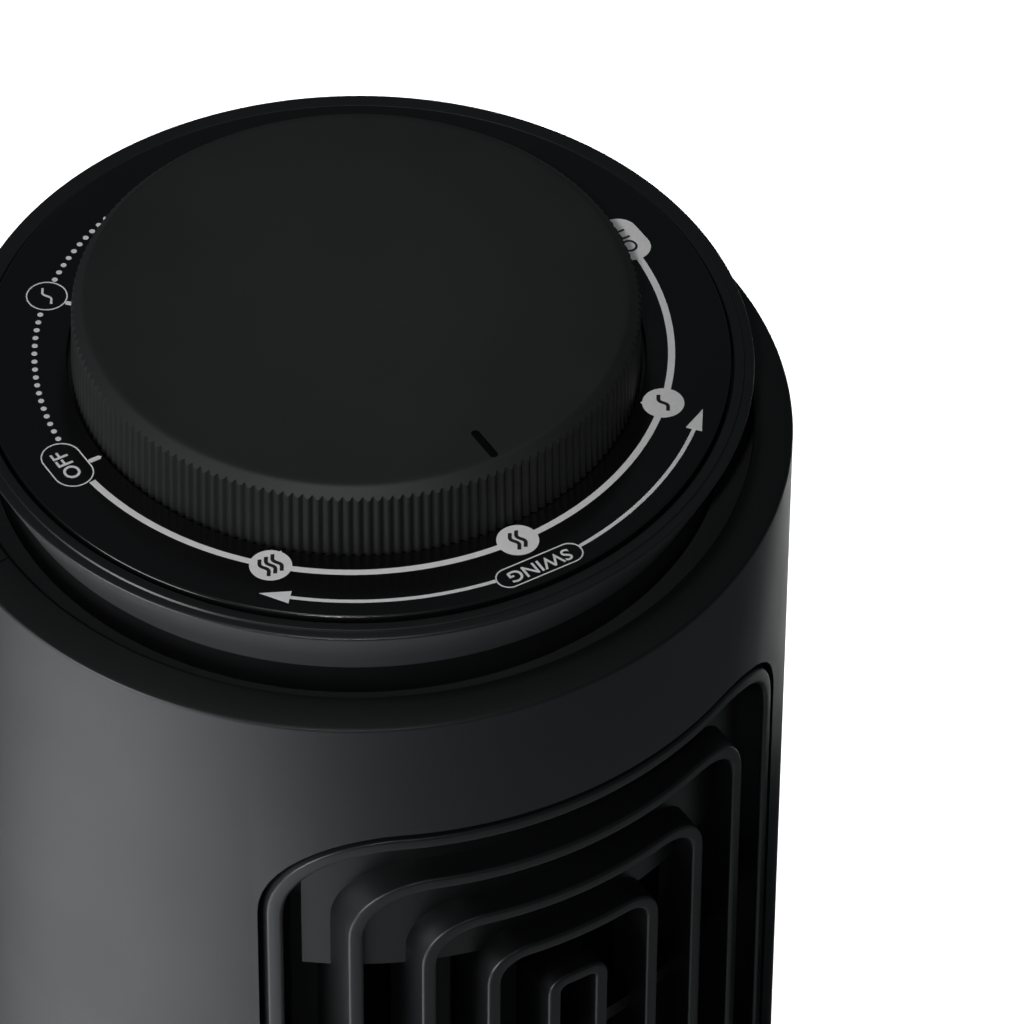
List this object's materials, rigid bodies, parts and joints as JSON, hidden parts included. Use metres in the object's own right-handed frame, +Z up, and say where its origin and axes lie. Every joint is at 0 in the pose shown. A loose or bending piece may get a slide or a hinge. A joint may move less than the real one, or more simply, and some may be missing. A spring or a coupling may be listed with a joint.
{
  "type": "tower fan",
  "caption": "Compact round tower fan with a nested-frame outlet grille, rear intake slots, a swinging tower on a weighted base and a large knurled dial on top.",
  "frame": {"origin": "centre of the footprint on the floor, at the bottom of the rubber feet", "axes": "+Z up along the tower, -Y towards the outlet grille (front), +X to the fan's left as seen from its back"},
  "size_m": [0.19, 0.19, 0.38],
  "materials": {
    "charcoal_plastic": "satin charcoal",
    "grille_plastic": "satin black",
    "dial_plastic": "matt black",
    "gloss_panel": "gloss black with printed legend",
    "recess_black": "rough black",
    "inner_plastic": "moulded black",
    "rubber": "matt",
    "steel": "brushed",
    "slide_plastic": "smooth natural",
    "capacitor_case": "smooth off-white",
    "wire_sleeve": "matt sleeve",
    "legend_ink": "printed light grey"
  },
  "bodies": {
    "base": {"base_shell": "charcoal_plastic", "base_plate": "inner_plastic", "base_ballast": "steel", "swing_motor": "steel", "turntable_slide_ring": "slide_plastic", "cord_gland": "rubber", "rubber_foot_1": "rubber", "rubber_foot_2": "rubber", "rubber_foot_3": "rubber", "rubber_foot_4": "rubber", "base_screw_1": "steel", "base_screw_2": "steel", "base_screw_3": "steel", "base_screw_4": "steel"},
    "crank": {"crank_shaft": "steel", "crank_arm": "inner_plastic", "crank_roller": "steel"},
    "tower": {"turntable": "inner_plastic", "swing_retainer_ring": "steel", "swing_lever": "inner_plastic", "front_casing": "charcoal_plastic", "rear_casing": "charcoal_plastic", "casing_screw_1": "steel", "casing_screw_2": "steel", "casing_screw_3": "steel", "casing_screw_4": "steel", "front_grille": "grille_plastic", "motor_mount": "inner_plastic", "bearing_plate": "inner_plastic", "fan_motor": "steel", "bearing_bush": "rubber", "run_capacitor": "capacitor_case", "scroll_wall": "inner_plastic", "scroll_tongue": "inner_plastic", "top_cap": "charcoal_plastic", "neck_ring": "recess_black", "dial_panel": "gloss_panel", "rotary_switch": "inner_plastic", "wiring_harness": "wire_sleeve"},
    "blower": {"blower_wheel": "inner_plastic", "blower_lower_plate": "inner_plastic", "blower_shaft": "steel", "blower_upper_plate": "inner_plastic"},
    "dial": {"dial_knob": "dial_plastic", "switch_shaft": "steel"}
  },
  "joints": [
    {"name": "swing", "type": "hinge", "parent": "base", "child": "tower", "pos_m": [0, 0, 0.03], "axis": [0, 0, 1], "range_deg": [-35, 35]},
    {"name": "crank_turn", "type": "hinge", "parent": "base", "child": "crank", "pos_m": [0, 0.036, 0.03], "axis": [0, 0, 1], "range_deg": [-111, 111]},
    {"name": "dial_turn", "type": "hinge", "parent": "tower", "child": "dial", "pos_m": [0, 0, 0.366], "axis": [0, 0, 1], "continuous": true},
    {"name": "blower_spin", "type": "hinge", "parent": "tower", "child": "blower", "pos_m": [0, 0.006, 0.19], "axis": [0, 0, 1], "continuous": true}
  ],
  "couplings": [
    {"joint": "crank_turn", "follows": "swing", "ratio": 3.1429}
  ]
}
